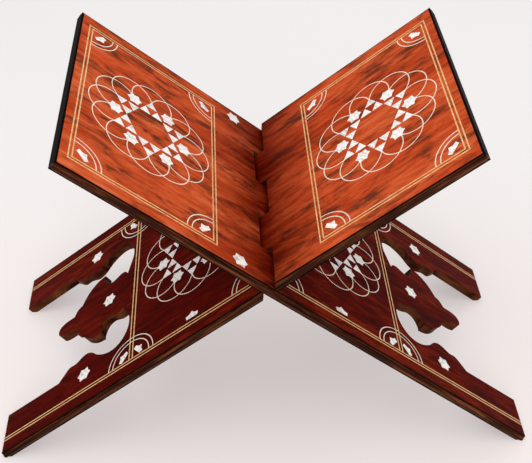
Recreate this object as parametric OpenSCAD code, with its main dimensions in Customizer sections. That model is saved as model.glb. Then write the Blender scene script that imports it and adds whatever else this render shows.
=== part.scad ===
// Folding book stand of two crossed wooden boards with interlocking hinge fingers.
// Units are millimetres. Origin is on the floor below the hinge axis; front faces -Y.

/* [Boards] */
// Width of each board across the stand
board_w = 250; // [180:1:300]
// Length of the upper half, from the hinge axis to the upper end
upper_len = 216.5; // [150:1:300]
// Length of the lower half, from the hinge axis to the foot
lower_len = 318; // [200:1:400]
// Thickness of each board
board_t = 9; // [6:0.5:14]
// Angle of each board from the floor when the stand is open
lean = 38.8; // [30:0.1:50]
// Amount trimmed off the foot corner so that the foot sits flat
foot_trim = 2.5; // [1:0.1:4]

/* [Hinge fingers] */
// Number of equal fingers across the width, shared by the two boards
finger_count = 5; // [3:2:9]
// Angle between the upper halves when folded as far as they go
closed_angle = 49; // [40:1:70]
// Clearance at the hinge shoulders
shoulder_gap = 0.25; // [0.1:0.05:0.5]
// Clearance between neighbouring fingers
finger_gap = 0.15; // [0.1:0.05:0.4]

/* [Legs and pendant] */
// Width of each leg
leg_w = 48.9; // [30:1:60]

/* [Edges] */
// Projection of the rounded bead on the front and rear edges
bead_h = 1.6; // [1:0.1:3]
// Width of the rounded bead across the board thickness
bead_w = 5.2; // [3:0.1:7]
// Size of the square black strings along the edges
string_w = 1; // [0.6:0.1:2]

/* [Inlays] */
// Depth of every inlay
inlay_d = 0.6; // [0.4:0.1:1.5]
// Width of the border lines
line_w = 1.3; // [0.8:0.1:2]
// Width of the arcs and rosette wires
wire_w = 1; // [0.6:0.1:2]
// Distance from the board edge to the outer border line
border_in = 15.5; // [10:0.5:20]
// Spacing between the two border lines
border_step = 3.5; // [2.5:0.1:5]
// Hinge-side end of the upper border
border_s0 = 58.5; // [50:0.5:80]
// Far end of the upper border
border_s1 = 207; // [190:0.5:215]
// Outer radius of the corner arcs
arc_r = 27; // [20:0.5:32]
// Radius step to the inner corner arc
arc_step = 5; // [3:0.5:7]
// Distance of the rosette centre from the hinge axis on the lower half
rose_low = 82.5; // [70:0.5:95]
// Distance of the rosette centre from the hinge axis on the upper half
rose_up = 132.5; // [120:0.5:150]
// Radius of the ring on which the rosette circles are centred
rose_ring = 43; // [35:0.5:50]
// Radius of each rosette circle
rose_circle = 22; // [16:0.5:26]
// Tip radius of the pearl stars
star_r = 8.2; // [6:0.1:10]
// Radius of the notches of a star as a share of its tips
notch = 0.74; // [0.58:0.01:0.85]
// Tip radius of the rosette stars
rose_star_r = 8; // [6:0.1:10]
// Radius of the ring of rosette stars
rose_star_ring = 37; // [30:0.5:42]
// Corner radius of the rosette triangles
tri_r = 6.8; // [5:0.1:8]
// Distance of the inner triangles from the rosette centre
tri_in = 25.3; // [20:0.1:30]
// Sideways offset of the inner triangles
tri_side = 7.2; // [6:0.1:9]
// Distance of the outer triangles from the rosette centre
tri_out = 36.6; // [32:0.1:42]
// Radius inside which the rosette has no wires
rose_open = 35.5; // [30:0.5:40]
// Distance of a corner half star from its corner
corner_star = 9.5; // [8:0.5:12]
// Distance of the leg stars from the hinge axis
leg_star_s = 216; // [200:1:230]
// Distance of the leg stars from the board edge
leg_star_y = 39.5; // [30:0.5:45]
// Distance of the pendant star from the hinge axis
pendant_star_s = 191; // [180:1:200]
// Distance of the hinge stars from the hinge axis
hinge_star_s = 34.5; // [28:0.5:45]
// Distance of the hinge stars from the board edge
hinge_star_y = 14; // [10:0.5:20]
// Distance of the cross lines from the hinge axis on the lower half
cross_s = 155.5; // [140:0.5:165]

/* [Display] */
// Piece to show

/* [Hidden] */
$fn = 64;
hinge_h = lower_len * sin(lean) + board_t / 2 * cos(lean) - foot_trim;
finger_w = board_w / finger_count;
half_t = board_t / 2;
mid_y = board_w / 2;
open_angle = 180 - 2 * lean;
reach = half_t + 1;
g = half_t + shoulder_gap;
nose_n = g * (sin(closed_angle) - sin(open_angle)) / sin(open_angle - closed_angle);
nose_s = (g + nose_n * cos(open_angle)) / sin(open_angle);
in_y = border_in + border_step;
curve_steps = 3;

// Shoulder distance from the hinge axis at height n for a board crossing at angle a
function shoulder(n, a) = (g + n * cos(a)) / sin(a);

// Point of a list, with the ends repeated
function knot(p, i) = p[max(0, min(len(p) - 1, i))];

// Point on the curve through a list, a share t of the way from knot i to the next
function between(p, i, t) = 0.5 * (2 * knot(p, i) + (knot(p, i + 1) - knot(p, i - 1)) * t
  + (2 * knot(p, i - 1) - 5 * knot(p, i) + 4 * knot(p, i + 1) - knot(p, i + 2)) * t * t
  + (3 * knot(p, i) - knot(p, i - 1) - 3 * knot(p, i + 1) + knot(p, i + 2)) * t * t * t);

// Curve through a list, without its last knot
function smooth(p) = [for (i = [0 : len(p) - 2], k = [0 : curve_steps - 1]) between(p, i, k / curve_steps)];

// Scalloped inner edge of a leg, from the straight part to the corner beside the pendant
leg_edge = [[-250, leg_w], [-245, 54], [-237, 61], [-229, 61], [-217, 66], [-208, 63], [-200, 55],
  [-188, 49], [-177, 49], [-168, 55], [-162, 66], [-161, 78], [-164, 89], [-168, 102]];
// Side lobe of the pendant
side_lobe = [[-168, 102], [-171, 97], [-177, 96], [-188, 100], [-196, 97], [-200, 88], [-200, 82]];
// Hollow below the side lobe, the step, and the rounded tip
hollow = [[-200, 82], [-210, 84], [-219, 90], [-225, 97], [-230, 106]];
step_edge = [[-230, 106], [-235, 108], [-238, 112], [-240, 116]];
tip = [[-240, 116], [-250, 116], [-257, 118], [-260, 121], [-261, 125]];
// One leg and half of the pendant, from beyond the foot to the pendant tip
half_cut = concat([[-lower_len - 30, leg_w]], smooth(leg_edge), smooth(side_lobe), smooth(hollow),
  smooth(step_edge), smooth(tip), [[tip[len(tip) - 1][0], mid_y]]);

// Places a board-frame shape on board A, which rises to the right
module on_a() {
  translate([0, -mid_y, hinge_h])
    rotate([0, -lean, 0])
      children();
}

// Places a board-frame shape on board B, which rises to the left
module on_b() {
  mirror([1, 0, 0])
    on_a()
      children();
}

// Everything below the floor
module floor_cut() {
  translate([-500, -500, -50])
    cube([1000, 1000, 50]);
}

// Slot cut through a board where the other board's finger passes; k is the finger number
module slot(k) {
  translate([0, (k + 1) * finger_w + finger_gap, 0])
    rotate([90, 0, 0])
      linear_extrude(finger_w + 2 * finger_gap)
        polygon([[shoulder(-reach, open_angle), -reach], [nose_s, nose_n],
          [shoulder(reach, closed_angle), reach], [-shoulder(-reach, open_angle), reach],
          [-nose_s, -nose_n], [-shoulder(reach, closed_angle), -reach]]);
}

// All slots of one board; first is 0 for the board cut at its outer fingers
module slots(first) {
  for (k = [first : 2 : finger_count - 1])
    slot(k);
}

// Flat outline of a whole board without its beads
module outline() {
  difference() {
    translate([-lower_len, bead_h])
      square([lower_len + upper_len, board_w - 2 * bead_h]);
    polygon(half_cut);
    translate([0, board_w])
      mirror([0, 1])
        polygon(half_cut);
    gap_middle();
  }
}

// Straight gap between the two cut outlines beyond the pendant tip
module gap_middle() {
  polygon(concat(half_cut, [for (i = [len(half_cut) - 1 : -1 : 0])
    [half_cut[i][0], board_w - half_cut[i][1]]]));
}

// Six-pointed star with tips along the board
module star(r) {
  polygon([for (i = [0 : 11])
    (i % 2 == 0 ? r : r * notch) * [cos(30 * i), sin(30 * i)]]);
}

// Half star with a flat base along the border side and three tips
module half_star(r) {
  polygon([for (i = [0 : 6])
    (i % 2 == 0 ? r * notch : r) * [cos(30 * i), sin(30 * i)]]);
}

// Flat ring of the wire width
module ring(r) {
  difference() {
    circle(r + wire_w / 2);
    circle(r - wire_w / 2);
  }
}

// Quarter of two concentric arcs opening towards the directions a and b
module quarter(a, b) {
  intersection() {
    union() {
      ring(arc_r);
      ring(arc_r - arc_step);
    }
    scale([a, b])
      square(arc_r + 2);
  }
}

// Twelve overlapping circles of the rosette, open in the middle
module rosette_rings() {
  difference() {
    for (a = [0 : 30 : 330])
      rotate(a)
        translate([rose_ring, 0])
          ring(rose_circle);
    circle(rose_open);
    rosette_pieces();
  }
}

// Six stars and the triangles of the rosette
module rosette_pieces() {
  for (a = [0 : 60 : 300])
    rotate(a) {
      translate([rose_star_ring, 0])
        star(rose_star_r);
      for (d = [-1, 1])
        translate([tri_in, d * tri_side])
          rotate(-90 * d)
            circle(tri_r, $fn = 3);
      rotate(30)
        translate([tri_out, 0])
          circle(tri_r, $fn = 3);
    }
}

// Border lines of the upper half
module upper_lines() {
  for (i = [0, 1])
    difference() {
      translate([border_s0 + i * border_step, border_in + i * border_step])
        square([border_s1 - border_s0 - 2 * i * border_step, board_w - 2 * (border_in + i * border_step)]);
      translate([border_s0 + i * border_step + line_w, border_in + i * border_step + line_w])
        square([border_s1 - border_s0 - 2 * i * border_step - 2 * line_w,
          board_w - 2 * (border_in + i * border_step) - 2 * line_w]);
    }
}

// Corner arcs of the upper half
module upper_arcs() {
  lo = in_y + line_w;
  s0 = border_s0 + border_step + line_w;
  s1 = border_s1 - border_step - line_w;
  translate([s0, lo])
    quarter(1, 1);
  translate([s1, lo])
    quarter(-1, 1);
  translate([s0, board_w - lo])
    quarter(1, -1);
  translate([s1, board_w - lo])
    quarter(-1, -1);
}

// Corner half stars of the upper half
module upper_corner_pearls() {
  lo = in_y + line_w;
  s0 = border_s0 + border_step + line_w;
  s1 = border_s1 - border_step - line_w;
  for (p = [[s0, lo, 1, 1], [s1, lo, -1, 1], [s0, board_w - lo, 1, -1], [s1, board_w - lo, -1, -1]])
    translate([p[0], p[1]])
      scale([p[2], p[3]])
        rotate(-45)
          translate([0, corner_star])
            half_star(star_r);
}

// Border lines of the lower half, with the double cross line
module lower_lines() {
  for (y = [border_in, in_y, board_w - border_in - line_w, board_w - in_y - line_w])
    translate([-lower_len, y])
      square([lower_len - 14, line_w]);
  for (s = [cross_s - 2, cross_s + 2])
    translate([-s - line_w / 2, in_y + line_w])
      square([line_w, board_w - 2 * (in_y + line_w)]);
}

// Double arcs of the lower half at the cross line and beside the hinge
module lower_arcs() {
  lo = in_y + line_w;
  difference() {
    for (p = [[lo, 1], [board_w - lo, -1]])
      translate([0, p[0]]) {
        translate([-cross_s, 0]) {
          quarter(1, p[1]);
          quarter(-1, p[1]);
        }
        intersection() {
          translate([-9.5, 0])
            quarter(-1, p[1]);
          translate([-60, -40])
            square([39, 80]);
        }
      }
    lower_lines();
  }
}

// Half stars of the lower half
module lower_corner_pearls() {
  lo = in_y + line_w;
  for (p = [[lo, 1], [board_w - lo, -1]])
    translate([0, p[0]])
      scale([1, p[1]]) {
        for (d = [-1, 1])
          translate([-cross_s, 0])
            scale([d, 1])
              rotate(-52)
                translate([0, 9])
                  half_star(star_r * 0.95);
        translate([-rose_low, 4])
          half_star(star_r);
      }
}

// Stars of the two legs
module leg_star_shapes() {
  for (y = [leg_star_y, board_w - leg_star_y])
    translate([-leg_star_s, y])
      star(star_r);
}

// Star of the pendant
module pendant_star_shape() {
  translate([-pendant_star_s, mid_y])
    star(star_r);
}

// Stars on the upper half beside the hinge
module hinge_star_shapes() {
  for (y = [hinge_star_y, board_w - hinge_star_y])
    translate([hinge_star_s, y])
      star(star_r);
}

// A flat inlay of the usual depth, flush with the top face
module inlay() {
  translate([0, 0, half_t - inlay_d])
    linear_extrude(inlay_d)
      children();
}

// Recesses for every inlay
module recesses(with_stars) {
  translate([0, 0, half_t - inlay_d])
    linear_extrude(inlay_d + 1) {
      upper_lines();
      upper_arcs();
      upper_corner_pearls();
      translate([rose_up, mid_y]) {
        rosette_rings();
        rosette_pieces();
      }
      if (with_stars == 1)
        hinge_star_shapes();
      lower_lines();
      lower_arcs();
      lower_corner_pearls();
      translate([-rose_low, mid_y]) {
        rosette_rings();
        rosette_pieces();
      }
      leg_star_shapes();
      pendant_star_shape();
    }
}

// Square strings along the four long edges
module strings() {
  for (y = [bead_h, board_w - bead_h - string_w])
    for (n = [-half_t, half_t - string_w])
      translate([-lower_len, y, n])
        cube([lower_len + upper_len - 2, string_w, string_w]);
}

// Black cap across the upper end
module cap() {
  translate([upper_len - 2, bead_h, -half_t])
    cube([2, board_w - 2 * bead_h, board_t]);
}

// Rounded bead along one long edge; side is 0 for front and 1 for rear
module bead(side) {
  r = (bead_w * bead_w / 4 + bead_h * bead_h) / (2 * bead_h);
  y0 = side == 0 ? r : board_w - r;
  intersection() {
    translate([-lower_len, y0, 0])
      rotate([0, 90, 0])
        cylinder(r = r, h = lower_len + upper_len);
    translate([-lower_len, side == 0 ? -1 : board_w - bead_h, -half_t])
      cube([lower_len + upper_len, bead_h + 1, board_t]);
  }
}

// Board with its hinge slots, inlay recesses and string rebates
module board_shape(first) {
  difference() {
    translate([0, 0, -half_t])
      linear_extrude(board_t)
        outline();
    recesses(first);
    strings();
    cap();
    slots(first);
  }
}

module board_a() {
  color([0.42, 0.12, 0.06])
    difference() {
      on_a() board_shape(0);
      floor_cut();
    }
}

module front_bead_a() {
  color([0.35, 0.14, 0.08])
    difference() {
      on_a() difference() {
        bead(0);
        slots(0);
      }
      floor_cut();
    }
}

module rear_bead_a() {
  color([0.35, 0.14, 0.08])
    difference() {
      on_a() difference() {
        bead(1);
        slots(0);
      }
      floor_cut();
    }
}

module edge_strings_a() {
  color([0.03, 0.02, 0.02])
    difference() {
      on_a() difference() {
        strings();
        slots(0);
      }
      floor_cut();
    }
}

module end_cap_a() {
  color([0.03, 0.02, 0.02])
    on_a() cap();
}

module border_lines_upper_a() {
  color([0.86, 0.68, 0.42])
    on_a() inlay() upper_lines();
}

module corner_arcs_upper_a() {
  color([0.92, 0.86, 0.76])
    on_a() inlay() upper_arcs();
}

module rosette_wire_upper_a() {
  color([0.92, 0.86, 0.76])
    on_a() inlay() translate([rose_up, mid_y]) rosette_rings();
}

module rosette_pearl_upper_a() {
  color([0.93, 0.93, 0.9])
    on_a() inlay() translate([rose_up, mid_y]) rosette_pieces();
}

module corner_pearl_upper_a() {
  color([0.93, 0.93, 0.9])
    on_a() inlay() upper_corner_pearls();
}

module border_lines_lower_a() {
  color([0.86, 0.68, 0.42])
    on_a() inlay() lower_lines();
}

module corner_arcs_lower_a() {
  color([0.92, 0.86, 0.76])
    on_a() inlay() lower_arcs();
}

module rosette_wire_lower_a() {
  color([0.92, 0.86, 0.76])
    on_a() inlay() translate([-rose_low, mid_y]) rosette_rings();
}

module rosette_pearl_lower_a() {
  color([0.93, 0.93, 0.9])
    on_a() inlay() translate([-rose_low, mid_y]) rosette_pieces();
}

module corner_pearl_lower_a() {
  color([0.93, 0.93, 0.9])
    on_a() inlay() lower_corner_pearls();
}

module leg_stars_a() {
  color([0.93, 0.93, 0.9])
    on_a() inlay() leg_star_shapes();
}

module pendant_star_a() {
  color([0.93, 0.93, 0.9])
    on_a() inlay() pendant_star_shape();
}

module board_b() {
  color([0.42, 0.12, 0.06])
    difference() {
      on_b() board_shape(1);
      floor_cut();
    }
}

module front_bead_b() {
  color([0.35, 0.14, 0.08])
    difference() {
      on_b() difference() {
        bead(0);
        slots(1);
      }
      floor_cut();
    }
}

module rear_bead_b() {
  color([0.35, 0.14, 0.08])
    difference() {
      on_b() difference() {
        bead(1);
        slots(1);
      }
      floor_cut();
    }
}

module edge_strings_b() {
  color([0.03, 0.02, 0.02])
    difference() {
      on_b() difference() {
        strings();
        slots(1);
      }
      floor_cut();
    }
}

module end_cap_b() {
  color([0.03, 0.02, 0.02])
    on_b() cap();
}

module border_lines_upper_b() {
  color([0.86, 0.68, 0.42])
    on_b() inlay() upper_lines();
}

module corner_arcs_upper_b() {
  color([0.92, 0.86, 0.76])
    on_b() inlay() upper_arcs();
}

module rosette_wire_upper_b() {
  color([0.92, 0.86, 0.76])
    on_b() inlay() translate([rose_up, mid_y]) rosette_rings();
}

module rosette_pearl_upper_b() {
  color([0.93, 0.93, 0.9])
    on_b() inlay() translate([rose_up, mid_y]) rosette_pieces();
}

module corner_pearl_upper_b() {
  color([0.93, 0.93, 0.9])
    on_b() inlay() upper_corner_pearls();
}

module border_lines_lower_b() {
  color([0.86, 0.68, 0.42])
    on_b() inlay() lower_lines();
}

module corner_arcs_lower_b() {
  color([0.92, 0.86, 0.76])
    on_b() inlay() lower_arcs();
}

module rosette_wire_lower_b() {
  color([0.92, 0.86, 0.76])
    on_b() inlay() translate([-rose_low, mid_y]) rosette_rings();
}

module rosette_pearl_lower_b() {
  color([0.93, 0.93, 0.9])
    on_b() inlay() translate([-rose_low, mid_y]) rosette_pieces();
}

module corner_pearl_lower_b() {
  color([0.93, 0.93, 0.9])
    on_b() inlay() lower_corner_pearls();
}

module leg_stars_b() {
  color([0.93, 0.93, 0.9])
    on_b() inlay() leg_star_shapes();
}

module pendant_star_b() {
  color([0.93, 0.93, 0.9])
    on_b() inlay() pendant_star_shape();
}

module hinge_stars_b() {
  color([0.93, 0.93, 0.9])
    on_b() inlay() hinge_star_shapes();
}

board_a();
front_bead_a();
rear_bead_a();
edge_strings_a();
end_cap_a();
border_lines_upper_a();
corner_arcs_upper_a();
rosette_wire_upper_a();
rosette_pearl_upper_a();
corner_pearl_upper_a();
border_lines_lower_a();
corner_arcs_lower_a();
rosette_wire_lower_a();
rosette_pearl_lower_a();
corner_pearl_lower_a();
leg_stars_a();
pendant_star_a();
board_b();
front_bead_b();
rear_bead_b();
edge_strings_b();
end_cap_b();
border_lines_upper_b();
corner_arcs_upper_b();
rosette_wire_upper_b();
rosette_pearl_upper_b();
corner_pearl_upper_b();
border_lines_lower_b();
corner_arcs_lower_b();
rosette_wire_lower_b();
rosette_pearl_lower_b();
corner_pearl_lower_b();
leg_stars_b();
pendant_star_b();
hinge_stars_b();
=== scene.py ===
import math
import bpy
from mathutils import Matrix, Vector

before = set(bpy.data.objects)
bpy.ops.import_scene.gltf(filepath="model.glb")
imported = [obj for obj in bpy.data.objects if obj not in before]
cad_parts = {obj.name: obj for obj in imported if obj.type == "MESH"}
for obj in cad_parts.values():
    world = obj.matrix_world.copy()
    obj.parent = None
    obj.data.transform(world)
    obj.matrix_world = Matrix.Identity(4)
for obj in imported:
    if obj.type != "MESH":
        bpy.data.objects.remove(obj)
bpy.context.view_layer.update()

LEAN = math.radians(38.8)
HINGE_H = 0.2003

# Where the camera stands: its direction and roll in degrees, the rest in metres and millimetres
CAM_AZ = -3.41
CAM_EL = 36.38
CAM_ROLL = 0.81
CAM_TARGET = (0.0033, 0.0, 0.2176)
CAM_DISTANCE = 0.9909
CAM_LENS = 72.05
CAM_SENSOR = 36
CAM_SHIFT_Y = -0.08

FLOOR_HALF = 30.0
FLOOR_GLOW = 0.35
SKY_STRENGTH = 0.80
scene = bpy.context.scene


# ---------------------------------------------------------------- camera
def add_camera():
    az, el, roll = (math.radians(a) for a in (CAM_AZ, CAM_EL, CAM_ROLL))
    back = Vector((math.sin(az) * math.cos(el), -math.cos(az) * math.cos(el), math.sin(el)))
    right = (-back).cross(Vector((0, 0, 1))).normalized()
    up = right.cross(-back)
    cam_x = right * math.cos(roll) + up * math.sin(roll)
    cam_y = -right * math.sin(roll) + up * math.cos(roll)
    cam_data = bpy.data.cameras.new("camera")
    cam = bpy.data.objects.new("camera", cam_data)
    scene.collection.objects.link(cam)
    place = Matrix((cam_x, cam_y, back)).transposed().to_4x4()
    place.translation = Vector(CAM_TARGET) + CAM_DISTANCE * back
    cam.matrix_world = place
    cam_data.sensor_width = CAM_SENSOR
    cam_data.sensor_fit = "HORIZONTAL"
    cam_data.lens = CAM_LENS
    cam_data.shift_y = CAM_SHIFT_Y
    cam_data.clip_start = 0.01
    scene.camera = cam


add_camera()


# ---------------------------------------------------------------- node helpers
class Nodes:
    """Small helper that builds a material's node tree."""

    def __init__(self, name):
        self.mat = bpy.data.materials.new(name)
        self.mat.use_nodes = True
        self.t = self.mat.node_tree
        self.t.nodes.clear()
        self.out = self.t.nodes.new("ShaderNodeOutputMaterial")
        self.bsdf = self.t.nodes.new("ShaderNodeBsdfPrincipled")
        self.t.links.new(self.bsdf.outputs[0], self.out.inputs[0])

    def new(self, kind, **props):
        n = self.t.nodes.new(kind)
        for k, v in props.items():
            setattr(n, k, v)
        return n

    def link(self, a, b):
        self.t.links.new(a, b)

    def coords(self, rot=(0, 0, 0), scale=(1, 1, 1), loc=(0, 0, 0)):
        tc = self.new("ShaderNodeTexCoord")
        turn = self.new("ShaderNodeMapping")
        turn.inputs["Rotation"].default_value = rot
        self.link(tc.outputs["Object"], turn.inputs["Vector"])
        size = self.new("ShaderNodeMapping")
        size.inputs["Scale"].default_value = scale
        size.inputs["Location"].default_value = loc
        self.link(turn.outputs[0], size.inputs["Vector"])
        return size.outputs[0]

    def noise(self, vec, scale, detail=4.0, rough=0.55, dist=0.0):
        n = self.new("ShaderNodeTexNoise")
        n.inputs["Scale"].default_value = scale
        n.inputs["Detail"].default_value = detail
        n.inputs["Roughness"].default_value = rough
        n.inputs["Distortion"].default_value = dist
        self.link(vec, n.inputs["Vector"])
        return n.outputs[0]

    def ramp(self, fac, stops):
        n = self.new("ShaderNodeValToRGB")
        e = n.color_ramp.elements
        while len(e) < len(stops):
            e.new(0.5)
        for el, (p, c) in zip(e, stops):
            el.position = p
            el.color = (*c, 1.0)
        self.link(fac, n.inputs[0])
        return n.outputs[0]

    def mix(self, fac, a, b, blend="MIX"):
        n = self.new("ShaderNodeMix", data_type="RGBA", blend_type=blend)
        if isinstance(fac, float):
            n.inputs[0].default_value = fac
        else:
            self.link(fac, n.inputs[0])
        for sock, v in ((n.inputs[6], a), (n.inputs[7], b)):
            if isinstance(v, tuple):
                sock.default_value = (*v, 1.0)
            else:
                self.link(v, sock)
        return n.outputs[2]

    def math(self, op, a, b=None, clamp=False):
        n = self.new("ShaderNodeMath", operation=op, use_clamp=clamp)
        for i, v in enumerate((a, b)):
            if v is None:
                continue
            if isinstance(v, (int, float)):
                n.inputs[i].default_value = v
            else:
                self.link(v, n.inputs[i])
        return n.outputs[0]

    def bump(self, height, strength, distance):
        n = self.new("ShaderNodeBump")
        n.inputs["Strength"].default_value = strength
        n.inputs["Distance"].default_value = distance
        self.link(height, n.inputs["Height"])
        self.link(n.outputs[0], self.bsdf.inputs["Normal"])


def wood(name, side, seed):
    """Lacquered mahogany with its grain along the board; side is 1 for leaf a and -1 for leaf b."""
    m = Nodes(name)
    rot = (0, LEAN * side, 0)
    off = (seed, seed * 1.7, 0)
    streak = m.noise(m.coords(rot, (34, 150, 110), off), 1.0, 5.0, 0.62, 0.6)
    fine = m.noise(m.coords(rot, (70, 620, 400), off), 1.0, 3.0, 0.6, 0.2)
    patch = m.noise(m.coords(rot, (26, 48, 40), off), 1.0, 4.0, 0.6, 0.9)
    band = m.noise(m.coords(rot, (3.0, 22, 16), off), 1.0, 3.0, 0.5, 0.4)
    tone = m.math("ADD", m.math("MULTIPLY", streak, 0.55), m.math("MULTIPLY", band, 0.45))
    red = m.ramp(tone, [(0.34, (0.230, 0.022, 0.006)), (0.46, (0.420, 0.048, 0.011)),
                        (0.56, (0.540, 0.082, 0.022)), (0.70, (0.620, 0.150, 0.055))])
    figure = m.math("MULTIPLY", m.ramp(patch, [(0.46, (0, 0, 0)), (0.62, (1, 1, 1))]),
                    m.ramp(streak, [(0.42, (1, 1, 1)), (0.62, (0, 0, 0))]))
    red = m.mix(m.math("MULTIPLY", figure, 0.9), red, (0.085, 0.024, 0.012))
    # painted shade: a darker copy of the red for the shaded lower half and hinge area
    painted_shade_red = m.ramp(tone, [(0.34, (0.036, 0.0010, 0.0005)), (0.50, (0.088, 0.0026, 0.0008)),
                         (0.68, (0.190, 0.0180, 0.0030))])
    painted_shade_red = m.mix(m.math("MULTIPLY", figure, 0.6), painted_shade_red, (0.022, 0.0030, 0.0010))
    # painted shade: the upper half is brighter than the part near the hinge and the lower half, which
    # are painted darker for the shade under the crossing leaves
    tc = m.new("ShaderNodeTexCoord")
    pos = m.new("ShaderNodeVectorMath", operation="SUBTRACT")
    m.link(tc.outputs["Object"], pos.inputs[0])
    pos.inputs[1].default_value = (0, 0, HINGE_H)
    along = m.new("ShaderNodeVectorMath", operation="DOT_PRODUCT")
    m.link(pos.outputs[0], along.inputs[0])
    along.inputs[1].default_value = (side * math.cos(LEAN), 0, math.sin(LEAN))
    wob = m.math("ADD", along.outputs["Value"], m.math("MULTIPLY", m.math("SUBTRACT", band, 0.5), 0.05))
    shade_fade = m.new("ShaderNodeMapRange", interpolation_type="SMOOTHSTEP")
    shade_fade.inputs["From Min"].default_value = -0.015
    shade_fade.inputs["From Max"].default_value = 0.085
    m.link(wob, shade_fade.inputs["Value"])
    col = m.mix(shade_fade.outputs[0], painted_shade_red, red)
    # sawn edges are dark brown
    flat = m.new("ShaderNodeVectorMath", operation="DOT_PRODUCT")
    m.link(tc.outputs["Normal"], flat.inputs[0])
    flat.inputs[1].default_value = (-side * math.sin(LEAN), 0, math.cos(LEAN))
    edge = m.math("SUBTRACT", 1.0, m.math("ABSOLUTE", flat.outputs["Value"]), True)
    edge_col = m.ramp(streak, [(0.38, (0.018, 0.004, 0.002)), (0.66, (0.105, 0.030, 0.011))])
    col = m.mix(edge, col, edge_col)
    pores = m.math("MULTIPLY", m.ramp(fine, [(0.58, (0, 0, 0)), (0.70, (1, 1, 1))]), 0.45)
    col = m.mix(pores, col, (0.030, 0.006, 0.003))
    m.link(col, m.bsdf.inputs["Base Color"])
    m.link(m.math("ADD", m.math("MULTIPLY", streak, 0.18), 0.12), m.bsdf.inputs["Roughness"])
    m.bsdf.inputs["Specular IOR Level"].default_value = 0.006
    m.bump(m.math("ADD", streak, m.math("MULTIPLY", fine, 0.5)), 0.12, 0.0005)
    return m.mat


def bead_wood(name, side, seed):
    """Dark wood of the rounded front and rear edges."""
    m = Nodes(name)
    v = m.coords((0, LEAN * side, 0), (14, 300, 300), (seed, 0, 0))
    n = m.noise(v, 1.0, 5.0, 0.6, 0.4)
    m.link(m.ramp(n, [(0.38, (0.006, 0.0015, 0.0008)), (0.54, (0.032, 0.008, 0.003)),
                      (0.70, (0.150, 0.046, 0.013))]), m.bsdf.inputs["Base Color"])
    m.link(m.math("ADD", m.math("MULTIPLY", n, 0.15), 0.16), m.bsdf.inputs["Roughness"])
    m.bsdf.inputs["Specular IOR Level"].default_value = 0.03
    m.bump(n, 0.1, 0.0003)
    return m.mat


def pearl(name):
    """Mother-of-pearl with cloudy bands and a different tone on each piece."""
    m = Nodes(name)
    v = m.coords()
    cloud = m.noise(v, 120.0, 4.0, 0.6, 1.2)
    wave = m.new("ShaderNodeTexWave", wave_type="BANDS", bands_direction="DIAGONAL")
    wave.inputs["Scale"].default_value = 90.0
    wave.inputs["Distortion"].default_value = 9.0
    wave.inputs["Detail"].default_value = 2.0
    m.link(v, wave.inputs["Vector"])
    isl = m.new("ShaderNodeNewGeometry")
    tone = m.math("ADD", m.math("MULTIPLY", cloud, 0.6), m.math("MULTIPLY", wave.outputs["Fac"], 0.25))
    tone = m.math("ADD", tone, m.math("MULTIPLY", isl.outputs["Random Per Island"], 0.22))
    col = m.ramp(tone, [(0.25, (0.50, 0.50, 0.50)), (0.45, (0.76, 0.76, 0.73)),
                        (0.62, (0.90, 0.89, 0.84)), (0.85, (0.97, 0.97, 0.95))])
    m.link(col, m.bsdf.inputs["Base Color"])
    m.link(m.math("ADD", m.math("MULTIPLY", cloud, 0.2), 0.12), m.bsdf.inputs["Roughness"])
    m.bsdf.inputs["Coat Weight"].default_value = 0.7
    m.bsdf.inputs["Coat Roughness"].default_value = 0.08
    m.bump(cloud, 0.08, 0.0004)
    return m.mat


def plain(name, a, b, rough, scale=260.0, spec=0.3):
    """Flat colour between a and b, varied finely."""
    m = Nodes(name)
    v = m.coords()
    n = m.noise(v, scale, 4.0, 0.6)
    m.link(m.ramp(n, [(0.32, a), (0.68, b)]), m.bsdf.inputs["Base Color"])
    m.link(m.math("ADD", m.math("MULTIPLY", n, 0.2), rough), m.bsdf.inputs["Roughness"])
    m.bsdf.inputs["Specular IOR Level"].default_value = spec
    m.bump(n, 0.08, 0.0002)
    return m.mat


mats = {}
for s, sg, seed in (("a", 1, 0.0), ("b", -1, 7.3)):
    mats["board_" + s] = wood("mahogany_" + s, sg, seed)
    mats["bead_" + s] = bead_wood("edge_wood_" + s, sg, seed + 3)
mat_pearl = pearl("pearl")
mat_black = plain("black_string", (0.002, 0.0015, 0.0015), (0.007, 0.004, 0.003), 0.25, spec=0.002)
mat_line = plain("border_line", (0.52, 0.28, 0.09), (0.80, 0.54, 0.25), 0.30)
mat_wire = plain("wire", (0.66, 0.56, 0.42), (0.88, 0.82, 0.70), 0.25)

for s in "ab":
    for ob in [o for o in bpy.data.objects if o.type == "MESH" and o.name.endswith("_" + s)]:
        n = ob.name
        if n.startswith("board_"):
            m = mats["board_" + s]
        elif "bead" in n:
            m = mats["bead_" + s]
        elif n.startswith("edge_strings") or n.startswith("end_cap"):
            m = mat_black
        elif n.startswith("border_lines"):
            m = mat_line
        elif "wire" in n or "arcs" in n:
            m = mat_wire
        else:
            m = mat_pearl
        if not ob.data.materials:
            ob.data.materials.append(m)
        for i in range(len(ob.material_slots)):
            ob.material_slots[i].material = m


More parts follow.
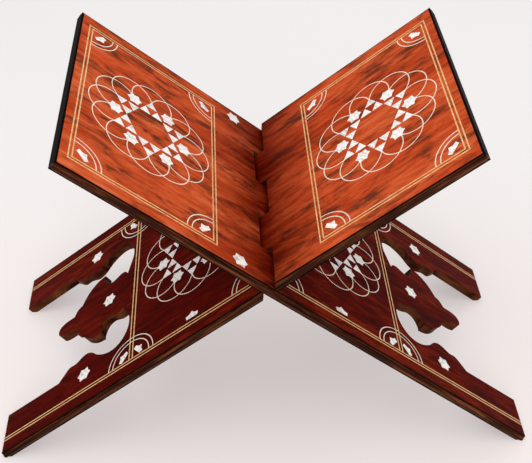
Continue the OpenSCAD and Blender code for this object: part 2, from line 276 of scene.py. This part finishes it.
# ---------------------------------------------------------------- floor and light
def add_floor():
    me = bpy.data.meshes.new("floor")
    k = FLOOR_HALF
    me.from_pydata([(-k, -k, 0), (k, -k, 0), (k, k, 0), (-k, k, 0)], [], [(0, 1, 2, 3)])
    ob = bpy.data.objects.new("floor", me)
    scene.collection.objects.link(ob)
    m = Nodes("floor")
    v = m.coords()
    n = m.noise(v, 2.0, 2.0, 0.5)
    sep = m.new("ShaderNodeSeparateXYZ")
    m.link(v, sep.inputs[0])
    # painted reflected light: the floor is tinted pink towards the front and under the stand, as bounce
    # from the red wood, and grey towards the back
    back = m.new("ShaderNodeMapRange", interpolation_type="SMOOTHSTEP")
    back.inputs["From Min"].default_value = -0.2
    back.inputs["From Max"].default_value = 0.6
    m.link(sep.outputs[1], back.inputs["Value"])
    floor_painted_bounce = m.mix(back.outputs[0], (0.52, 0.475, 0.465), (0.48, 0.48, 0.48))
    m.link(m.mix(m.math("MULTIPLY", n, 0.12), floor_painted_bounce, (0.45, 0.44, 0.44)), m.bsdf.inputs["Base Color"])
    m.bsdf.inputs["Emission Color"].default_value = (1.0, 0.95, 0.94, 1.0)
    m.bsdf.inputs["Emission Strength"].default_value = FLOOR_GLOW
    m.bsdf.inputs["Roughness"].default_value = 0.8
    m.bsdf.inputs["Specular IOR Level"].default_value = 0.1
    me.materials.append(m.mat)


def add_area(name, loc, at, size, power, color=(1, 1, 1)):
    d = bpy.data.lights.new(name, "AREA")
    d.shape = "RECTANGLE"
    d.size, d.size_y = size
    d.energy = power
    d.color = color
    ob = bpy.data.objects.new(name, d)
    scene.collection.objects.link(ob)
    ob.location = loc
    ob.rotation_euler = (Vector(at) - Vector(loc)).to_track_quat("-Z", "Y").to_euler()


add_floor()
add_area("key", (-0.25, -0.45, 1.5), (0, 0, 0.2), (1.1, 1.1), 7)
add_area("rear", (0.3, 1.2, 1.2), (0, 0, 0.3), (1.4, 0.8), 4)
add_area("fill", (0.0, -3.0, 1.0), (0, 0.1, 0.05), (3.0, 1.4), 58)
world = bpy.data.worlds.new("world")
scene.world = world
world.use_nodes = True
bg = world.node_tree.nodes["Background"]
# bright overhead and dim at the horizon, so the lacquer keeps its depth
tree = world.node_tree
way = tree.nodes.new("ShaderNodeTexCoord")
height = tree.nodes.new("ShaderNodeSeparateXYZ")
sky = tree.nodes.new("ShaderNodeValToRGB")
sky.color_ramp.elements[0].position = 0.05
sky.color_ramp.elements[0].color = (0.55, 0.54, 0.535, 1.0)
sky.color_ramp.elements[1].position = 0.50
sky.color_ramp.elements[1].color = (1.0, 0.985, 0.98, 1.0)
tree.links.new(way.outputs["Generated"], height.inputs[0])
tree.links.new(height.outputs[2], sky.inputs[0])
tree.links.new(sky.outputs[0], bg.inputs[0])
bg.inputs[1].default_value = SKY_STRENGTH
scene.view_settings.view_transform = "Standard"
